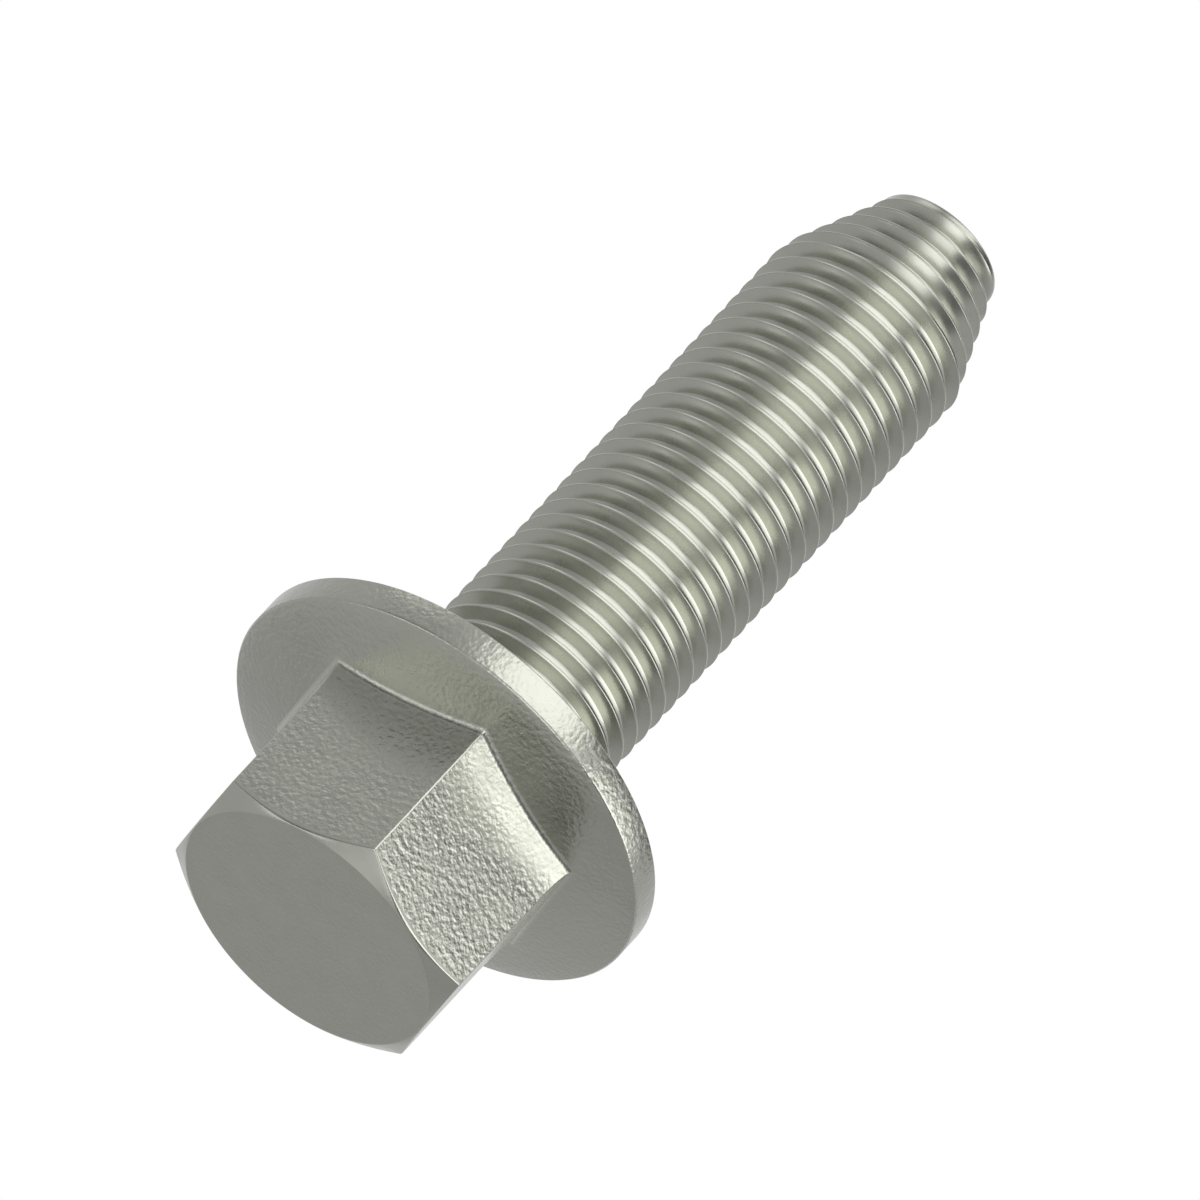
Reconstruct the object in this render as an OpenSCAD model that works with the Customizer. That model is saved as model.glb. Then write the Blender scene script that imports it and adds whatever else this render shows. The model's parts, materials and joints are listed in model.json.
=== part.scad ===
// Self-tapping screw with a hexagon head and an integral flange.
// It stands on the end face of its head, with the point upwards.
// The thread's grooves have their true pitch, depth and section, and are rings square to the
// axis. On the real screw they wind round it to the right, by one pitch a turn.

/* [Head] */
// Width of the hexagon across its flats
hex_across_flats = 13; // [10:0.1:16]
// Height of the head, from its end face to the bearing face
head_height = 10.8; // [8:0.1:14]
// Slope of the chamfer round the end face, in degrees
chamfer_angle = 32.5; // [15:0.5:40]
// Radius of the fillet where each flat runs out into the flange
flat_fillet = 0.4; // [0.2:0.05:0.8]

/* [Flange] */
// Outer diameter of the flange
flange_diameter = 21.05; // [19:0.05:26]
// Thickness of the straight rim
rim_thickness = 1.5; // [0.8:0.1:2.5]
// Slope of the flange's upper side, in degrees
flange_slope = 15; // [8:0.5:22]

/* [Thread] */
// Diameter over the crests
thread_diameter = 9.97; // [7:0.01:12]
// Distance from one crest to the next
thread_pitch = 1.0175; // [0.8:0.0025:1.5]
// Angle between the two flanks of a groove, in degrees
groove_angle = 60; // [50:1:65]

/* [Shank] */
// Length under the head, from the bearing face to the point
length = 35; // [20:0.5:80]
// Length of the tapered lead that starts in the hole
lead_length = 5.3; // [3:0.1:8]
// Diameter at the end of the lead
point_diameter = 6; // [4:0.1:6.5]
// Radius of the edge round the point
point_edge = 0.3; // [0.1:0.05:0.6]
// Length of the plain neck between the bearing face and the thread
neck_length = 1.3; // [0.6:0.1:4]
// Radius in the corner between the neck and the bearing face
neck_fillet = 0.4; // [0.35:0.05:0.6]

/* [Hidden] */
$fn = 120;

steel = [0.56, 0.57, 0.53];
// How far a piece runs into its neighbour
sunk = 0.5;
// How far the arc of a fillet is set into the slope, so that it ends in it all along
foot_depth = 0.004;

flat_distance = hex_across_flats / 2;
corner_radius = flat_distance / cos(30);
half_flat = flat_distance * tan(30);
flange_radius = flange_diameter / 2;
thread_radius = thread_diameter / 2;
point_radius = point_diameter / 2;
rim_start = head_height - rim_thickness;
total_height = head_height + length;
lead_start = total_height - lead_length;

// Height at which the sloping side of the flange has the radius r
function slope_height(r) = rim_start - (flange_radius - r) * tan(flange_slope);

// Hexagon with its corners on the Y axis, chamfered to a round end face
module hexagon() {
    reach = corner_radius + 1;
    chamfer = (reach - flat_distance) * tan(chamfer_angle);
    intersection() {
        rotate([0, 0, 30])
            cylinder(r = corner_radius, h = head_height - rim_thickness / 2, $fn = 6);
        rotate_extrude()
            polygon([
                [0, 0], [flat_distance, 0], [reach, chamfer],
                [reach, head_height], [0, head_height]
            ]);
    }
}

// Straight rim with a side that slopes in towards the hexagon
module flange() {
    rotate_extrude()
        polygon([
            [0, slope_height(0)], [flange_radius, rim_start],
            [flange_radius, head_height], [0, head_height]
        ]);
}

// Fillet along the foot of one flat, which faces +X.
// The foot is a shallow arc in the plane of the flat, so the fillet is swept along that arc,
// and it ends at both corners in the mitre that it shares with the next flat.
module flat_foot() {
    rise = slope_height(corner_radius) - slope_height(flat_distance);
    arc_radius = (half_flat * half_flat + rise * rise) / (2 * rise);
    arc_half_angle = asin(half_flat / arc_radius) + 2;
    tangent = flat_fillet / tan(45 + flange_slope / 2);
    out = tangent * cos(flange_slope);
    down = tangent * sin(flange_slope);
    wedge = flange_radius;
    intersection() {
        translate([0, 0, slope_height(flat_distance) + foot_depth + arc_radius])
            rotate([0, 90, 0])
            rotate([0, 0, -arc_half_angle])
            rotate_extrude(angle = 2 * arc_half_angle)
            difference() {
                polygon([
                    [arc_radius + tangent, flat_distance - sunk],
                    [arc_radius + tangent, flat_distance],
                    [arc_radius - down, flat_distance + out],
                    [arc_radius - down - sunk, flat_distance + out],
                    [arc_radius - down - sunk, flat_distance - sunk]
                ]);
                translate([arc_radius + tangent, flat_distance + flat_fillet])
                    circle(flat_fillet);
            }
        linear_extrude(head_height)
            polygon([[0, 0], [wedge, wedge * tan(30)], [wedge, -wedge * tan(30)]]);
    }
}

module head() {
    hexagon();
    flange();
    for (side = [0 : 5])
        rotate([0, 0, 60 * side])
            flat_foot();
}

// Radius over the crests at the height z: straight at first, then tapering along the lead
function crest_radius(z) =
    thread_radius - max(0, z - lead_start) * (thread_radius - point_radius) / lead_length;

// Shank in section, from the neck to the rounding of the point's edge.
// Each corner of a groove is given as [pitches from the middle of the groove, share of the depth].
module shank() {
    groove = [[-1 / 8, 1], [1 / 8, 1], [7 / 16, 0], [9 / 16, 0]];
    depth = thread_pitch * 5 / 16 / tan(groove_angle / 2);
    // The neck has the radius at which groove and ridge are equally wide
    neck_radius = thread_radius - depth * 3 / 5;
    neck_end = head_height + neck_length;
    first_groove = neck_end + thread_pitch / 4;
    fillet = min(neck_fillet, neck_length);

    lead_angle = atan((thread_radius - point_radius) / lead_length);
    edge_r = point_radius - point_edge * tan(45 - lead_angle / 2);
    edge_z = total_height - point_edge;
    edge_start = edge_z + point_edge * sin(lead_angle);
    grooves = floor((edge_start - first_groove) / thread_pitch - 9 / 16) + 1;

    rotate_extrude() {
        polygon([
            [0, head_height - sunk], [neck_radius, head_height - sunk], [neck_radius, neck_end],
            for (turn = [0 : grooves - 1])
                for (corner = groove)
                    let (z = first_groove + (turn + corner.x) * thread_pitch)
                        [crest_radius(z) - corner.y * depth, z],
            [edge_r + point_edge * cos(lead_angle), edge_start],
            [edge_r, edge_z], [edge_r, total_height], [0, total_height]
        ]);
        translate([edge_r, edge_z])
            circle(point_edge);
        difference() {
            translate([neck_radius - sunk, head_height - sunk])
                square(sunk + fillet);
            translate([neck_radius + fillet, head_height + fillet])
                circle(fillet);
        }
    }
}

module screw() {
    color(steel)
    union() {
        head();
        shank();
    }
}

screw();
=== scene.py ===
"""Looks of a self-tapping screw with a hexagon flange head, standing on the end of its head."""
import json
import math

import bmesh
import bpy
from mathutils import Matrix, Quaternion, Vector


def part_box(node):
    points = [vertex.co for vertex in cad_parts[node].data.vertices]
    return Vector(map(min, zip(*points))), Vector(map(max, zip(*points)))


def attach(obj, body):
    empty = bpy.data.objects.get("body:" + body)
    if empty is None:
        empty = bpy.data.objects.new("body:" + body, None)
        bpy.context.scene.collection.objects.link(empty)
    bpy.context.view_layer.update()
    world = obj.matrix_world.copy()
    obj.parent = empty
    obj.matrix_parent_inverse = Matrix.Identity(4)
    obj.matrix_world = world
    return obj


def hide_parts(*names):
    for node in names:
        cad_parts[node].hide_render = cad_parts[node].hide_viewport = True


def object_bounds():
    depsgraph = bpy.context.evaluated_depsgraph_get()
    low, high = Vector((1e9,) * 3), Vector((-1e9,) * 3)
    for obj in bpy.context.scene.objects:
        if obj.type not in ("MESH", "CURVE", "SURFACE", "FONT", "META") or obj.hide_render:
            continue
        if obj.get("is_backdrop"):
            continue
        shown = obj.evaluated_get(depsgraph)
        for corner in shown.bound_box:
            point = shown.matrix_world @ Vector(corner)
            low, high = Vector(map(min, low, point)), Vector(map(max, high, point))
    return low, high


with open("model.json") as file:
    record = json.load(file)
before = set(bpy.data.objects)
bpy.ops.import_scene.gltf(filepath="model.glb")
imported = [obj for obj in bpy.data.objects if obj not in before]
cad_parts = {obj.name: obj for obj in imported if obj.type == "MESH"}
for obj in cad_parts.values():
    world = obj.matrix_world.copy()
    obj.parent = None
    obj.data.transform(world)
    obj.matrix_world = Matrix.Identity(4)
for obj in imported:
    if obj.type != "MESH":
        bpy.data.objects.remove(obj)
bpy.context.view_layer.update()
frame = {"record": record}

MM = 0.001
UP = Vector((0, 0, 1))

# Sizes that the frame gives, and the start of the lead
_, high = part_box("screw")
mounts = {mount["name"]: mount for mount in frame["record"]["mounts"]}
TOTAL_HEIGHT = high.z
FLANGE_RADIUS = high.x
HEAD_HEIGHT = mounts["bearing_face"]["pos_m"][2]
CREST_RADIUS = mounts["shank"]["dims"]["r_mm"] * MM
LEAD_LENGTH = 5.3 * MM
LEAD_START = TOTAL_HEIGHT - LEAD_LENGTH

# Head
FLAT_DISTANCE = 6.5 * MM
CHAMFER_ANGLE = math.radians(32.5)
RIM_THICKNESS = 1.5 * MM
FLANGE_SLOPE = math.radians(15)
FLANGE_RINGS = (8.6 * MM, 9.6 * MM)
FILLET_RADIUS = 0.4 * MM
FLARE_LENGTH = 1.8 * MM
FLARE_TILT = math.radians(8)
CORNER_RADIUS = 0.13 * MM
CORNER_TURNS = (-30, -15, 0, 15, 30)
SIDE_STEPS = 24
EDGE = 0.1 * MM

# Thread
PITCH = 1.0175 * MM
THREAD_DEPTH = 0.5413 * PITCH
FIRST_CREST = 10.027 * MM
# Across one turn, in pitches from the middle of the crest
HALF_CREST = 1 / 16
FLANK = 5 / 16
ROOT_START = HALF_CREST + FLANK
ROOT_END = 1 - ROOT_START
# Half the width of the soft edge at each corner
SOFT = 0.008
TURNS = 36
# Columns of the grid in one turn
COLUMNS = 144
NECK_RADIUS = 4.66 * MM
NECK_HEIGHT = 0.9 * MM
NECK_FILLET = 0.4 * MM
NECK_STEPS = 5
POINT_RADIUS = 3 * MM
POINT_EDGE = 0.25 * MM
POINT_STEPS = 4

# Steel: its colour between dark and light clouds, its roughness there, and its dimples
DARK_STEEL = (0.245, 0.250, 0.225)
LIGHT_STEEL = (0.275, 0.281, 0.253)
# Painted light: a lighter steel colour, seen only in the steel's own reflections, that brightens
# the grooves
PAINTED_GROOVE_LIGHT_STEEL = (0.54, 0.552, 0.486)
CLOUD_ROUGHNESS = (0.24, 0.31)
CLOUD_WIDTH = 1.6 * MM
DIMPLE_WIDTH = 0.24 * MM
DIMPLE_DEPTH = 0.03 * MM
FOOT_DIMPLES = 0.7
THREAD_DIMPLES = 0.02

# View of the photograph: parallel, from the side of the head
VIEW_TO_AXIS = math.radians(59.55)
ROLL = math.radians(47.15)
VIEW_AZIMUTH = math.radians(271.37)
FRAME_WIDTH = 51.08 * MM
AIM_HEIGHT = 21.706 * MM
AIM_ASIDE = 0.372 * MM
CAMERA_DISTANCE = 0.2

# Stage
LAMP_COLOUR = (1, 1, 0.965)
AMBIENT = 0.75
FLOOR_COLOUR = (0.86, 0.86, 0.86)
FLOOR_GAP = 0.02 * MM
PANEL_DISTANCE = 0.4


# Node trees

def maths(tree, operation, *terms):
    """A Math node on sockets or plain numbers, and its output."""
    node = tree.nodes.new("ShaderNodeMath")
    node.operation = operation
    for socket, term in zip(node.inputs, terms):
        if isinstance(term, bpy.types.NodeSocket):
            tree.links.new(term, socket)
        else:
            socket.default_value = term
    return node.outputs[0]


def named_inputs(tree, sizes):
    """Float inputs of a tree, each with its value: {name: output of the input node}."""
    for name, value in sizes.items():
        tree.interface.new_socket(name, in_out="INPUT", socket_type="NodeSocketFloat")
        tree.interface.items_tree[name].default_value = value
    return tree.nodes.new("NodeGroupInput").outputs


# The thread: a grid that is wound on a helix, one row for each corner of the thread's section

def thread_rows():
    """Places of the rows across one turn, with two rows close together at each corner."""
    rows = [-HALF_CREST + SOFT, HALF_CREST - SOFT, HALF_CREST + SOFT]
    rows += [ROOT_START - SOFT, ROOT_START + SOFT]
    rows += [ROOT_START + (ROOT_END - ROOT_START) * share for share in (0.35, 0.7)]
    rows += [ROOT_END - SOFT, ROOT_END + SOFT]
    rows += [ROOT_END + FLANK * share for share in (0.2, 0.4, 0.6, 0.8)]
    rows += [1 - HALF_CREST - SOFT]
    return rows + [rows[0] + 1]


def thread_sizes():
    """The tree's inputs: lengths in metres, slopes and the lean as shares."""
    return {
        "Pitch": PITCH,
        "Depth": THREAD_DEPTH,
        "Root slope": 0.05,
        "Crest slope": 0.05,
        "Crest radius": CREST_RADIUS,
        "First crest": FIRST_CREST - PITCH,
        "Bottom": HEAD_HEIGHT + NECK_HEIGHT,
        "Top": TOTAL_HEIGHT - POINT_EDGE,
        "Neck radius": NECK_RADIUS,
        "Run-out": PITCH,
        "Lead start": LEAD_START,
        "Lead slope": (CREST_RADIUS - POINT_RADIUS) / LEAD_LENGTH,
        "Lead lean": 0.24,
        "Blend": 0.3 * PITCH,
    }


def thread_tree(material):
    """Geometry Nodes that wind the grid: each point gets its height, then its radius there."""
    tree = bpy.data.node_groups.new("thread", "GeometryNodeTree")
    sizes = named_inputs(tree, thread_sizes())
    tree.interface.new_socket("Geometry", in_out="OUTPUT", socket_type="NodeSocketGeometry")

    def new(kind):
        return tree.nodes.new(kind)

    def link(output, socket):
        tree.links.new(output, socket)

    rows = thread_rows()
    grid = new("GeometryNodeMeshGrid")
    grid.inputs["Vertices X"].default_value = TURNS * COLUMNS + 1
    grid.inputs["Vertices Y"].default_value = len(rows)

    # Which turn a point is on, and where its row lies across the turn
    index = new("GeometryNodeInputIndex").outputs[0]
    column = maths(tree, "FLOOR", maths(tree, "DIVIDE", maths(tree, "ADD", index, 0.5), len(rows)))
    row = maths(tree, "FLOOR", maths(tree, "MODULO", maths(tree, "ADD", index, 0.5), len(rows)))
    turn = maths(tree, "DIVIDE", column, COLUMNS)
    place = new("GeometryNodeIndexSwitch")
    place.data_type = "FLOAT"
    while len(place.index_switch_items) < len(rows):
        place.index_switch_items.new()
    link(row, place.inputs["Index"])
    for socket, value in zip(place.inputs[1:], rows):
        socket.default_value = value

    wound = maths(tree, "MULTIPLY", maths(tree, "ADD", turn, place.outputs[0]), sizes["Pitch"])
    free = maths(tree, "ADD", wound, sizes["First crest"])
    height = maths(tree, "MINIMUM", maths(tree, "MAXIMUM", free, sizes["Bottom"]), sizes["Top"])
    pitches = maths(tree, "DIVIDE",
                    maths(tree, "SUBTRACT", height, sizes["First crest"]), sizes["Pitch"])
    phase = maths(tree, "FRACT", maths(tree, "SUBTRACT", pitches, turn))

    def share(start, end):
        """How far the phase has come from start to end, held between 0 and 1."""
        node = new("ShaderNodeMapRange")
        link(phase, node.inputs["Value"])
        node.inputs["From Min"].default_value = start
        node.inputs["From Max"].default_value = end
        return node.outputs[0]

    # The section: 1 on the crest, 0 at the bottom of the groove
    rootward = maths(tree, "POWER", share(ROOT_START, ROOT_END), 2)
    rising = share(ROOT_END, 1 - HALF_CREST)
    bowl = maths(tree, "MULTIPLY", rootward, sizes["Root slope"])
    rest = maths(tree, "SUBTRACT", 1, sizes["Root slope"])
    rise = maths(tree, "ADD", bowl, maths(tree, "MULTIPLY", rising, rest))
    sharp = maths(tree, "MAXIMUM", share(ROOT_START, HALF_CREST), rise)
    across = maths(tree, "FRACT", maths(tree, "ADD", phase, HALF_CREST))
    across = maths(tree, "MINIMUM", maths(tree, "DIVIDE", across, 2 * HALF_CREST), 1)
    kept = maths(tree, "SUBTRACT", 1, maths(tree, "MULTIPLY", across, sizes["Crest slope"]))
    ridge = maths(tree, "MULTIPLY", sharp, kept)

    # The lead: it tapers, its grooves lean with the taper, and they fade out at the point
    beyond = maths(tree, "MAXIMUM", maths(tree, "SUBTRACT", height, sizes["Lead start"]), 0)
    lead = maths(tree, "SUBTRACT", sizes["Crest radius"],
                 maths(tree, "MULTIPLY", beyond, sizes["Lead slope"]))
    entered = maths(tree, "MINIMUM", maths(tree, "DIVIDE", beyond, sizes["Blend"]), 1)
    lean = maths(tree, "MULTIPLY", entered, sizes["Lead lean"])
    left = maths(tree, "DIVIDE", maths(tree, "SUBTRACT", sizes["Top"], height), sizes["Blend"])
    depth = maths(tree, "MULTIPLY", sizes["Depth"], maths(tree, "MINIMUM", left, 1))
    groove = maths(tree, "MULTIPLY", depth, maths(tree, "SUBTRACT", 1, ridge))
    inward = maths(tree, "SQRT", maths(tree, "SUBTRACT", 1, maths(tree, "MULTIPLY", lean, lean)))
    full = maths(tree, "SUBTRACT", lead, maths(tree, "MULTIPLY", groove, inward))
    leaned = maths(tree, "SUBTRACT", height, maths(tree, "MULTIPLY", groove, lean))

    # The run-out at the neck
    run = new("ShaderNodeMapRange")
    run.interpolation_type = "SMOOTHSTEP"
    link(maths(tree, "SUBTRACT", height, sizes["Bottom"]), run.inputs["Value"])
    link(sizes["Run-out"], run.inputs["From Max"])
    grown = maths(tree, "MULTIPLY", run.outputs[0],
                  maths(tree, "SUBTRACT", full, sizes["Neck radius"]))
    radius = maths(tree, "ADD", sizes["Neck radius"], grown)

    angle = maths(tree, "MULTIPLY", turn, math.tau)
    point = new("ShaderNodeCombineXYZ")
    link(maths(tree, "MULTIPLY", radius, maths(tree, "COSINE", angle)), point.inputs["X"])
    link(maths(tree, "MULTIPLY", radius, maths(tree, "SINE", angle)), point.inputs["Y"])
    link(leaned, point.inputs["Z"])

    placed = new("GeometryNodeSetPosition")
    link(grid.outputs["Mesh"], placed.inputs["Geometry"])
    link(point.outputs[0], placed.inputs["Position"])
    welded = new("GeometryNodeMergeByDistance")
    welded.inputs["Distance"].default_value = 0.001 * MM
    link(placed.outputs[0], welded.inputs["Geometry"])
    realized = new("GeometryNodeRealizeInstances")
    link(welded.outputs[0], realized.inputs[0])
    finished = new("GeometryNodeSetMaterial")
    finished.inputs["Material"].default_value = material
    link(realized.outputs[0], finished.inputs["Geometry"])
    link(finished.outputs[0], new("NodeGroupOutput").inputs[0])
    return tree


def thread_mesh(material):
    """The thread as a plain mesh, open at both ends."""
    carrier = bpy.data.objects.new("thread_carrier", bpy.data.meshes.new("thread_carrier"))
    bpy.context.scene.collection.objects.link(carrier)
    modifier = carrier.modifiers.new("thread", "NODES")
    modifier.node_group = thread_tree(material)
    sockets = modifier.node_group.interface.items_tree
    for name, value in thread_sizes().items():
        modifier[sockets[name].identifier] = value
    graph = bpy.context.evaluated_depsgraph_get()
    mesh = bpy.data.meshes.new_from_object(carrier.evaluated_get(graph))
    bpy.data.objects.remove(carrier)
    return mesh


# The head and neck: rings of points from the middle of the end face to the thread

def hexagon():
    """Points round the hexagon, with a small radius at each corner."""
    points = []
    centre_distance = (FLAT_DISTANCE - CORNER_RADIUS) / math.cos(math.radians(30))
    for side in range(6):
        corner = math.radians(60 * side + 30)
        centre = Vector((math.cos(corner), math.sin(corner), 0)) * centre_distance
        for turn in CORNER_TURNS:
            angle = corner + math.radians(turn)
            points.append(centre + Vector((math.cos(angle), math.sin(angle), 0)) * CORNER_RADIUS)
        start = points[-1]
        next_corner = corner + math.radians(60)
        next_centre = Vector((math.cos(next_corner), math.sin(next_corner), 0)) * centre_distance
        facing = corner + math.radians(30)
        end = next_centre + Vector((math.cos(facing), math.sin(facing), 0)) * CORNER_RADIUS
        points += [start.lerp(end, (step + 0.5) / SIDE_STEPS) for step in range(SIDE_STEPS)]
    return points


def slope_height(radius):
    """Height of the flange's sloping side at that radius."""
    return HEAD_HEIGHT - RIM_THICKNESS - (FLANGE_RADIUS - radius) * math.tan(FLANGE_SLOPE)


def foot_section():
    """The foot of a flat in section, as (out from the flat, height below the flange's slope)."""
    flare_out = FLARE_LENGTH * math.tan(FLARE_TILT) / 2
    centre_out = flare_out + FILLET_RADIUS * math.cos(FLARE_TILT)
    centre_below = FILLET_RADIUS / math.cos(FLANGE_SLOPE)

    def below(out, up):
        """Gap to the slope of a point that lies up from the fillet's centre."""
        return centre_below + (out - centre_out) * math.tan(FLANGE_SLOPE) - up

    section = []
    start_up = FILLET_RADIUS * math.sin(FLARE_TILT)
    flare_steps = 6
    for step in range(flare_steps):
        share = step / flare_steps
        out = flare_out * share * share
        section.append((out, below(out, start_up - FLARE_LENGTH * (1 - share))))
    arc_steps = 7
    end_angle = math.radians(90) - FLANGE_SLOPE
    for step in range(arc_steps + 1):
        angle = FLARE_TILT + (end_angle - FLARE_TILT) * step / arc_steps
        out = centre_out - FILLET_RADIUS * math.cos(angle)
        section.append((out, below(out, FILLET_RADIUS * math.sin(angle))))
    return section


def head_rings():
    """Rings of equally many points, from near the middle of the end face to the bearing face."""
    outline = hexagon()
    rings = []

    def circle(radius, height):
        rings.append([(point.normalized() * radius).xy.to_3d() + UP * height for point in outline])

    end_radius = FLAT_DISTANCE - EDGE
    for share in (0.3, 0.6, 0.9):
        circle(end_radius * share, 0)
    circle(end_radius - EDGE / 2, 0)
    circle(end_radius + EDGE / 4, EDGE / 4 * math.tan(CHAMFER_ANGLE))
    section = foot_section()
    _, start_below = section[0]
    chamfer_end, flat_start, flat_middle, flat_end = [], [], [], []
    for point in outline:
        reach = point.length
        edge_height = (reach - end_radius) * math.tan(CHAMFER_ANGLE)
        foot_height = slope_height(reach) - start_below
        inside = point.normalized() * (reach - EDGE / 3)
        chamfer_end.append(inside + UP * (edge_height - EDGE / 3 * math.tan(CHAMFER_ANGLE)))
        flat_start.append(point + UP * (edge_height + EDGE * 0.8))
        flat_middle.append(point + UP * (edge_height + foot_height) / 2)
        flat_end.append(point + UP * foot_height)
    rings += [chamfer_end, flat_start, flat_middle, flat_end]
    for out, below in section[1:]:
        scaled = [point * ((FLAT_DISTANCE + out) / FLAT_DISTANCE) for point in outline]
        rings.append([point + UP * (slope_height(point.length) - below) for point in scaled])
    for radius in (*FLANGE_RINGS, FLANGE_RADIUS - EDGE):
        circle(radius, slope_height(radius))
    circle(FLANGE_RADIUS, HEAD_HEIGHT - RIM_THICKNESS + EDGE)
    circle(FLANGE_RADIUS, HEAD_HEIGHT - EDGE)
    circle(FLANGE_RADIUS - EDGE, HEAD_HEIGHT)
    return rings


def neck_rings(angles):
    """Rings from the bearing face up to the thread, as (radius, height)."""
    section = [(NECK_RADIUS + NECK_FILLET + EDGE, HEAD_HEIGHT)]
    for step in range(NECK_STEPS + 1):
        angle = math.radians(90) * step / NECK_STEPS
        out = NECK_FILLET * (1 - math.sin(angle))
        section.append((NECK_RADIUS + out, HEAD_HEIGHT + NECK_FILLET * (1 - math.cos(angle))))
    return [
        [Vector((math.cos(a) * radius, math.sin(a) * radius, height)) for a in angles]
        for radius, height in section
    ]


def join_rings(mesh, lower, upper):
    """Four-sided faces between two rings that have the same number of points."""
    for i in range(len(lower)):
        j = (i + 1) % len(lower)
        mesh.faces.new((lower[i], lower[j], upper[j], upper[i]))


def close_ring(mesh, ring, middle):
    """Triangles from a ring to the point in its middle."""
    for i in range(len(ring)):
        mesh.faces.new((middle, ring[(i + 1) % len(ring)], ring[i]))


def zip_rings(mesh, outer, inner):
    """Triangles between two rings that have unlike numbers of points."""
    def angle(vert):
        return math.atan2(vert.co.y, vert.co.x) % math.tau

    outer = sorted(outer, key=angle)
    inner = sorted(inner, key=angle)
    i = j = 0
    while i < len(outer) or j < len(inner):
        a, b = outer[i % len(outer)], inner[j % len(inner)]
        next_outer = angle(outer[(i + 1) % len(outer)]) + math.tau * ((i + 1) // len(outer))
        next_inner = angle(inner[(j + 1) % len(inner)]) + math.tau * ((j + 1) // len(inner))
        if j >= len(inner) or (i < len(outer) and next_outer < next_inner):
            i += 1
            mesh.faces.new((a, outer[i % len(outer)], b))
        else:
            j += 1
            mesh.faces.new((a, inner[j % len(inner)], b))


def open_ring(mesh, height):
    """The boundary of the thread at that height, in order of angle."""
    ring = {
        vert for edge in mesh.edges if edge.is_boundary for vert in edge.verts
        if abs(vert.co.z - height) < 0.01 * MM
    }
    return sorted(ring, key=lambda vert: math.atan2(vert.co.y, vert.co.x))


def round_point(mesh, end):
    """Rounded edge and flat end face of the point, from the end of the thread."""
    ring = end
    for step in range(1, POINT_STEPS + 1):
        angle = math.radians(90) * step / POINT_STEPS
        inward = POINT_EDGE * (1 - math.cos(angle))
        height = TOTAL_HEIGHT - POINT_EDGE * (1 - math.sin(angle))
        upper = []
        for vert in end:
            flat = vert.co.xy.to_3d()
            upper.append(mesh.verts.new(flat.normalized() * (flat.length - inward) + UP * height))
        join_rings(mesh, ring, upper)
        ring = upper
    inner = [mesh.verts.new(vert.co.xy.to_3d() * 0.9 + UP * TOTAL_HEIGHT) for vert in ring]
    join_rings(mesh, ring, inner)
    close_ring(mesh, inner, mesh.verts.new((0, 0, TOTAL_HEIGHT)))


def screw_mesh(material):
    """Thread, head, neck and point as one closed mesh."""
    mesh = bmesh.new()
    mesh.from_mesh(thread_mesh(material))
    start = open_ring(mesh, HEAD_HEIGHT + NECK_HEIGHT)
    end = open_ring(mesh, TOTAL_HEIGHT - POINT_EDGE)

    rings = [[mesh.verts.new(point) for point in ring] for ring in head_rings()]
    close_ring(mesh, rings[0], mesh.verts.new((0, 0, 0)))
    for lower, upper in zip(rings, rings[1:]):
        join_rings(mesh, lower, upper)
    angles = [math.atan2(vert.co.y, vert.co.x) for vert in start]
    neck = [[mesh.verts.new(point) for point in ring] for ring in neck_rings(angles)]
    for lower, upper in zip(neck, [*neck[1:], start]):
        join_rings(mesh, lower, upper)
    zip_rings(mesh, rings[-1], neck[0])

    round_point(mesh, end)

    bmesh.ops.recalc_face_normals(mesh, faces=mesh.faces)
    for face in mesh.faces:
        face.smooth = True
    data = bpy.data.meshes.new("screw_steel")
    mesh.to_mesh(data)
    mesh.free()
    return data


def shade_by_area(mesh):
    """Smooth normals that lean to the larger faces, so narrow edge faces round only the edge."""
    normals = [Vector() for _ in mesh.vertices]
    for face in mesh.polygons:
        for index in face.vertices:
            normals[index] += face.normal * face.area
    mesh.normals_split_custom_set_from_vertices([normal.normalized() for normal in normals])


def make_screw(material):
    """The screw as an object at the origin, with its place in its mesh."""
    mesh = screw_mesh(material)
    mesh.materials.clear()
    mesh.materials.append(material)
    shade_by_area(mesh)
    screw = bpy.data.objects.new("screw_steel", mesh)
    bpy.context.scene.collection.objects.link(screw)
    return screw


# Steel

def noise(tree, vector, feature, detail=2.0, rough=0.5):
    """A noise value between 0 and 1, with lumps about one feature wide."""
    node = tree.nodes.new("ShaderNodeTexNoise")
    node.inputs["Scale"].default_value = 1 / feature
    node.inputs["Detail"].default_value = detail
    node.inputs["Roughness"].default_value = rough
    tree.links.new(vector, node.inputs["Vector"])
    return node.outputs["Fac"]


def ramp(tree, value, start, end, low_value, high_value):
    """Smooth change from one value to another while the driving value goes from start to end."""
    node = tree.nodes.new("ShaderNodeMapRange")
    node.interpolation_type = "SMOOTHSTEP"
    tree.links.new(value, node.inputs["Value"])
    for name, number in zip(("From Min", "From Max", "To Min", "To Max"),
                            (start, end, low_value, high_value)):
        node.inputs[name].default_value = number
    return node.outputs[0]


def mixed(tree, factor, first, second):
    """A colour between two, each a plain colour or an output."""
    node = tree.nodes.new("ShaderNodeMix")
    node.data_type = "RGBA"
    tree.links.new(factor, node.inputs["Factor"])
    for socket, colour in ((node.inputs["A"], first), (node.inputs["B"], second)):
        if isinstance(colour, bpy.types.NodeSocket):
            tree.links.new(colour, socket)
        else:
            socket.default_value = (*colour, 1)
    return node.outputs["Result"]


def distance_from_axis(tree, place):
    """Length of the level part of a place."""
    level = tree.nodes.new("ShaderNodeVectorMath")
    level.operation = "MULTIPLY"
    level.inputs[1].default_value = (1, 1, 0)
    tree.links.new(place, level.inputs[0])
    reach = tree.nodes.new("ShaderNodeVectorMath")
    reach.operation = "LENGTH"
    tree.links.new(level.outputs[0], reach.inputs[0])
    return reach.outputs["Value"]


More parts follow.
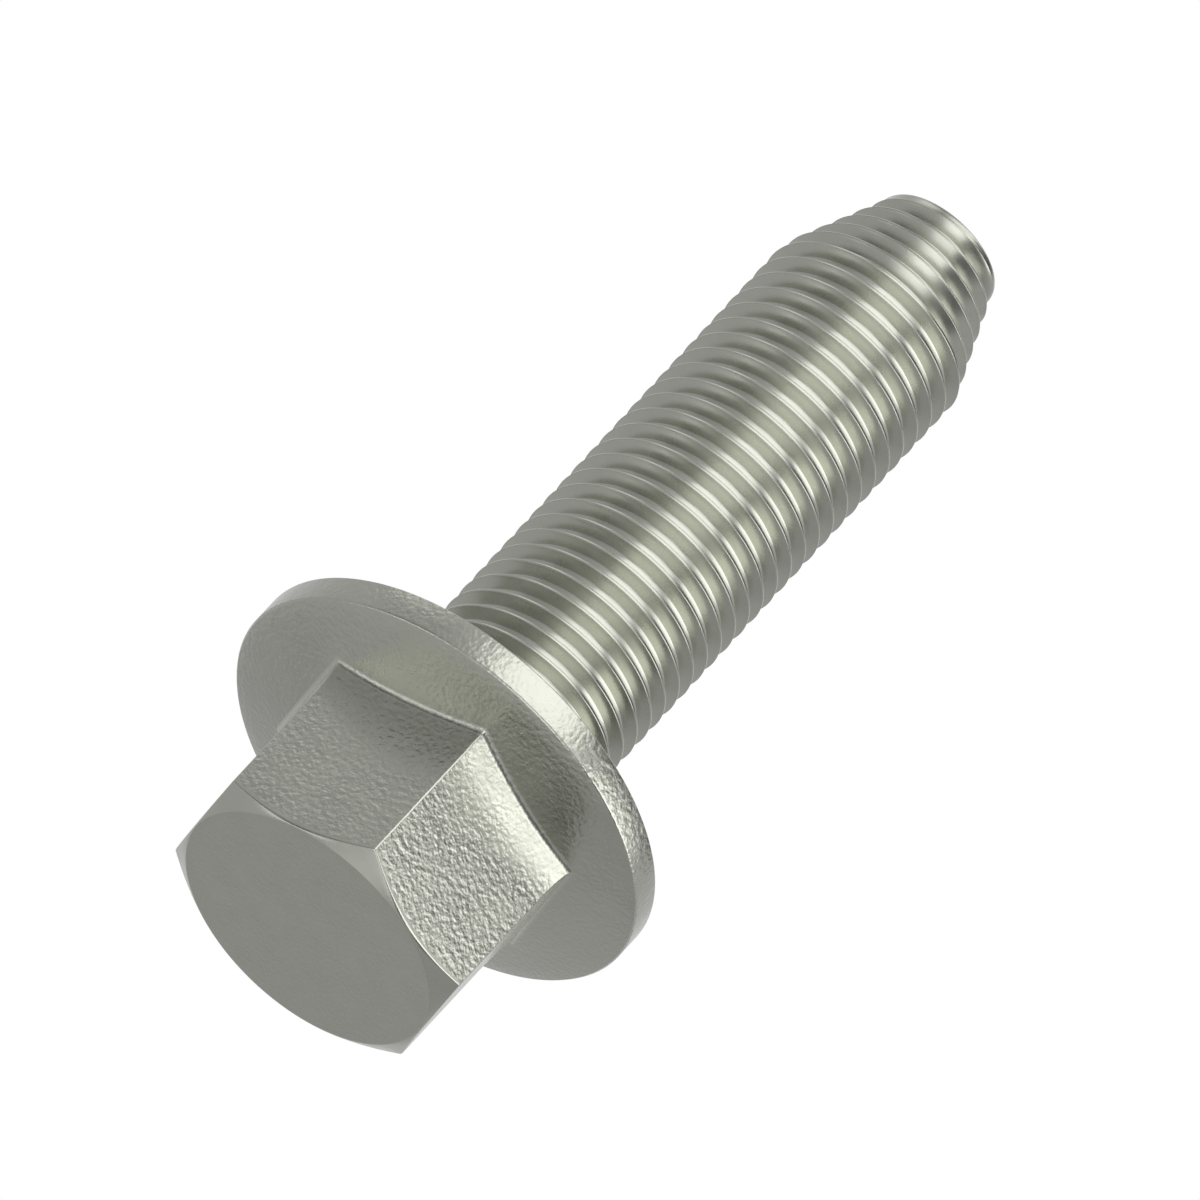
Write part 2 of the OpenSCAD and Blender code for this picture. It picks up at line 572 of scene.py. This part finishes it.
def dimple_strength(tree, place, height):
    """How deep the dimples are, from 0 to 1, at a height on the screw."""
    on_head = ramp(tree, height, HEAD_HEIGHT - EDGE, HEAD_HEIGHT, 1, THREAD_DIMPLES)
    # The chamfer and the edge round it are cut clean
    inside = maths(tree, "SUBTRACT", distance_from_axis(tree, place), FLAT_DISTANCE - EDGE)
    chamfer = maths(tree, "MULTIPLY", inside, math.tan(CHAMFER_ANGLE))
    above = maths(tree, "SUBTRACT", height, chamfer)
    on_flat = ramp(tree, above, EDGE, 3 * EDGE, 0, 1)
    # The forging is smoother towards the foot of the flats
    foot = slope_height(FLAT_DISTANCE)
    worn = maths(tree, "ADD",
                 ramp(tree, height, foot - FLARE_LENGTH, foot - FILLET_RADIUS, 1, FOOT_DIMPLES),
                 ramp(tree, height, foot, foot + FILLET_RADIUS, 0, 1 - FOOT_DIMPLES))
    return maths(tree, "MULTIPLY", maths(tree, "MULTIPLY", on_head, on_flat), worn)


def steel():
    """Satin steel: clouds change its colour and gloss, the head has a dimpled skin, and its own
    reflections take a lighter colour, which paints light into the grooves.
    """
    material = bpy.data.materials.new("satin_steel")
    material.use_nodes = True
    tree = material.node_tree
    shader = tree.nodes["Principled BSDF"]
    shader.inputs["Metallic"].default_value = 1
    place = tree.nodes.new("ShaderNodeTexCoord").outputs["Object"]
    split = tree.nodes.new("ShaderNodeSeparateXYZ")
    tree.links.new(place, split.inputs[0])

    clouds = noise(tree, place, CLOUD_WIDTH, detail=2)
    skin = mixed(tree, clouds, DARK_STEEL, LIGHT_STEEL)
    # Painted light: in its own reflections the steel takes a lighter colour, so the grooves
    # reflect brighter and don't go black
    reflected = tree.nodes.new("ShaderNodeLightPath").outputs["Is Glossy Ray"]
    tree.links.new(mixed(tree, reflected, skin, PAINTED_GROOVE_LIGHT_STEEL), shader.inputs["Base Color"])
    tree.links.new(ramp(tree, clouds, 0.3, 0.7, *CLOUD_ROUGHNESS), shader.inputs["Roughness"])

    bump = tree.nodes.new("ShaderNodeBump")
    bump.inputs["Distance"].default_value = DIMPLE_DEPTH
    dimples = noise(tree, place, DIMPLE_WIDTH, detail=1.5, rough=0.45)
    tree.links.new(dimples, bump.inputs["Height"])
    tree.links.new(dimple_strength(tree, place, split.outputs["Z"]), bump.inputs["Strength"])
    tree.links.new(bump.outputs[0], shader.inputs["Normal"])
    return material


# Stage

def view_axes():
    """The photograph's view: level towards the camera, level aside, and where the camera looks."""
    toward = Vector((math.cos(VIEW_AZIMUTH), math.sin(VIEW_AZIMUTH), 0))
    aside = toward.cross(UP)
    look = UP * math.cos(VIEW_TO_AXIS) - toward * math.sin(VIEW_TO_AXIS)
    return toward, aside, look


def make_camera():
    """Parallel camera, below the floor's level, in which the screw's axis runs up to the right."""
    toward, aside, look = view_axes()
    along = UP * math.sin(VIEW_TO_AXIS) + toward * math.cos(VIEW_TO_AXIS)
    right = along * math.cos(ROLL) - aside * math.sin(ROLL)
    top = along * math.sin(ROLL) + aside * math.cos(ROLL)
    camera = bpy.data.objects.new("camera", bpy.data.cameras.new("camera"))
    camera.data.type = "ORTHO"
    camera.data.ortho_scale = FRAME_WIDTH
    camera.data.clip_start = 0.001
    camera.data.clip_end = 10
    camera.rotation_euler = Matrix((right, top, -look)).transposed().to_euler()
    camera.location = UP * AIM_HEIGHT + aside * AIM_ASIDE - look * CAMERA_DISTANCE
    bpy.context.scene.collection.objects.link(camera)
    bpy.context.scene.camera = camera


def direction_from_view(azimuth, elevation):
    """Direction as seen from the screw; azimuth is counted from the camera's side."""
    toward, aside, _ = view_axes()
    azimuth, elevation = math.radians(azimuth), math.radians(elevation)
    level = toward * math.cos(azimuth) + aside * math.sin(azimuth)
    return level * math.cos(elevation) + UP * math.sin(elevation)


def place_panel(panel, azimuth, elevation, roll=0):
    """Turn a lamp or card to the screw, at the panels' common distance."""
    direction = direction_from_view(azimuth, elevation)
    panel.location = UP * AIM_HEIGHT + direction * PANEL_DISTANCE
    turned = direction.to_track_quat("Z", "Y") @ Quaternion((0, 0, 1), math.radians(roll))
    panel.rotation_euler = turned.to_euler()
    bpy.context.scene.collection.objects.link(panel)


def make_softbox(name, azimuth, elevation, width, height, radiance, roll=0):
    """A soft lamp. With a radiance of 1 it would show as plain white in a mirror."""
    lamp = bpy.data.lights.new(name, "AREA")
    lamp.shape = "RECTANGLE"
    lamp.color = LAMP_COLOUR
    lamp.size, lamp.size_y = width, height
    lamp.energy = radiance * math.pi * width * height
    place_panel(bpy.data.objects.new(name, lamp), azimuth, elevation, roll)


def make_card(name, azimuth, elevation, width, height, shade):
    """A dark card, as photographers set beside bright metal; only its reflection shows."""
    mesh = bpy.data.meshes.new(name)
    x, y = width / 2, height / 2
    mesh.from_pydata([(-x, -y, 0), (x, -y, 0), (x, y, 0), (-x, y, 0)], [], [(0, 3, 2, 1)])
    material = bpy.data.materials.new(name)
    material.use_nodes = True
    shader = material.node_tree.nodes["Principled BSDF"]
    shader.inputs["Base Color"].default_value = (shade, shade, shade, 1)
    shader.inputs["Roughness"].default_value = 1
    shader.inputs["Specular IOR Level"].default_value = 0
    mesh.materials.append(material)
    card = bpy.data.objects.new(name, mesh)
    card.visible_camera = False
    card.visible_diffuse = False
    card.visible_shadow = False
    card.visible_transmission = False
    place_panel(card, azimuth, elevation)
    card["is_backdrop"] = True


def make_world():
    """White wherever it is seen, and somewhat weaker as light on matt surfaces."""
    world = bpy.data.worlds.new("studio")
    world.use_nodes = True
    tree = world.node_tree
    tree.nodes.clear()
    path = tree.nodes.new("ShaderNodeLightPath")
    seen = maths(tree, "MAXIMUM", path.outputs["Is Camera Ray"], path.outputs["Is Glossy Ray"])
    seen = maths(tree, "MAXIMUM", seen, path.outputs["Is Transmission Ray"])
    mix = tree.nodes.new("ShaderNodeMixShader")
    tree.links.new(seen, mix.inputs["Fac"])
    for socket, strength in ((mix.inputs[1], AMBIENT), (mix.inputs[2], 1)):
        background = tree.nodes.new("ShaderNodeBackground")
        background.inputs["Color"].default_value = (1, 1, 1, 1)
        background.inputs["Strength"].default_value = strength
        tree.links.new(background.outputs[0], socket)
    output = tree.nodes.new("ShaderNodeOutputWorld")
    tree.links.new(mix.outputs[0], output.inputs["Surface"])
    bpy.context.scene.world = world


def make_floor():
    """A pale floor that shows from above only, because the photograph's view comes from below."""
    reach = 2
    mesh = bpy.data.meshes.new("floor")
    corners = [(-reach, -reach), (reach, -reach), (reach, reach), (-reach, reach)]
    mesh.from_pydata([(x, y, -FLOOR_GAP) for x, y in corners], [], [(0, 1, 2, 3)])
    material = bpy.data.materials.new("pale_floor")
    material.use_nodes = True
    tree = material.node_tree
    shader = tree.nodes["Principled BSDF"]
    shader.inputs["Base Color"].default_value = (*FLOOR_COLOUR, 1)
    shader.inputs["Roughness"].default_value = 0.9
    shader.inputs["Specular IOR Level"].default_value = 0.1
    clear = tree.nodes.new("ShaderNodeBsdfTransparent")
    side = tree.nodes.new("ShaderNodeNewGeometry")
    mix = tree.nodes.new("ShaderNodeMixShader")
    tree.links.new(side.outputs["Backfacing"], mix.inputs["Fac"])
    tree.links.new(shader.outputs[0], mix.inputs[1])
    tree.links.new(clear.outputs[0], mix.inputs[2])
    tree.links.new(mix.outputs[0], tree.nodes["Material Output"].inputs["Surface"])
    mesh.materials.append(material)
    floor = bpy.data.objects.new("floor", mesh)
    floor.visible_glossy = False
    floor.visible_shadow = False
    floor.visible_diffuse = False
    floor.visible_transmission = False
    bpy.context.scene.collection.objects.link(floor)
    floor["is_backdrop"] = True


make_camera()
make_world()
make_floor()
# Azimuth and elevation in degrees, width and height in metres, then radiance or shade
make_softbox("front_softbox", -5, 29, 0.34, 0.27, 2.7, roll=6)
make_softbox("front_high_softbox", -10, 61, 0.26, 0.17, 1.9)
make_softbox("top_softbox", -64, 78, 0.14, 0.14, 1.8)
make_softbox("low_softbox", -5, -4, 0.12, 0.16, 1.6)
make_softbox("side_softbox", -67, 4, 0.33, 0.28, 3.5)
make_softbox("left_high_softbox", 74, 48, 0.18, 0.18, 1.25)
make_softbox("low_front_softbox", -10, -54, 0.22, 0.22, 2.9)
make_softbox("under_softbox", 0, -90, 0.14, 0.14, 0.5)
make_softbox("left_low_softbox", 80, -53, 0.14, 0.18, 1.5)
make_card("high_card", -79, 49, 0.44, 0.2, 0.1)
make_card("top_card", 60, 74, 0.2, 0.2, 0.5)
make_card("left_card", 54, 5, 0.28, 0.28, 0.62)
make_card("left_low_card", 60, -22, 0.2, 0.14, 0.12)
make_card("right_low_card", -62, -38, 0.3, 0.2, 0.2)
make_card("low_card", -130, -45, 0.36, 0.35, 0.66)
make_card("back_card", -162, -26, 0.56, 0.38, 0.73)

screw = make_screw(steel())
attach(screw, "root")
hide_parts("screw")

bpy.context.scene.view_settings.view_transform = "Standard"
low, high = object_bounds()
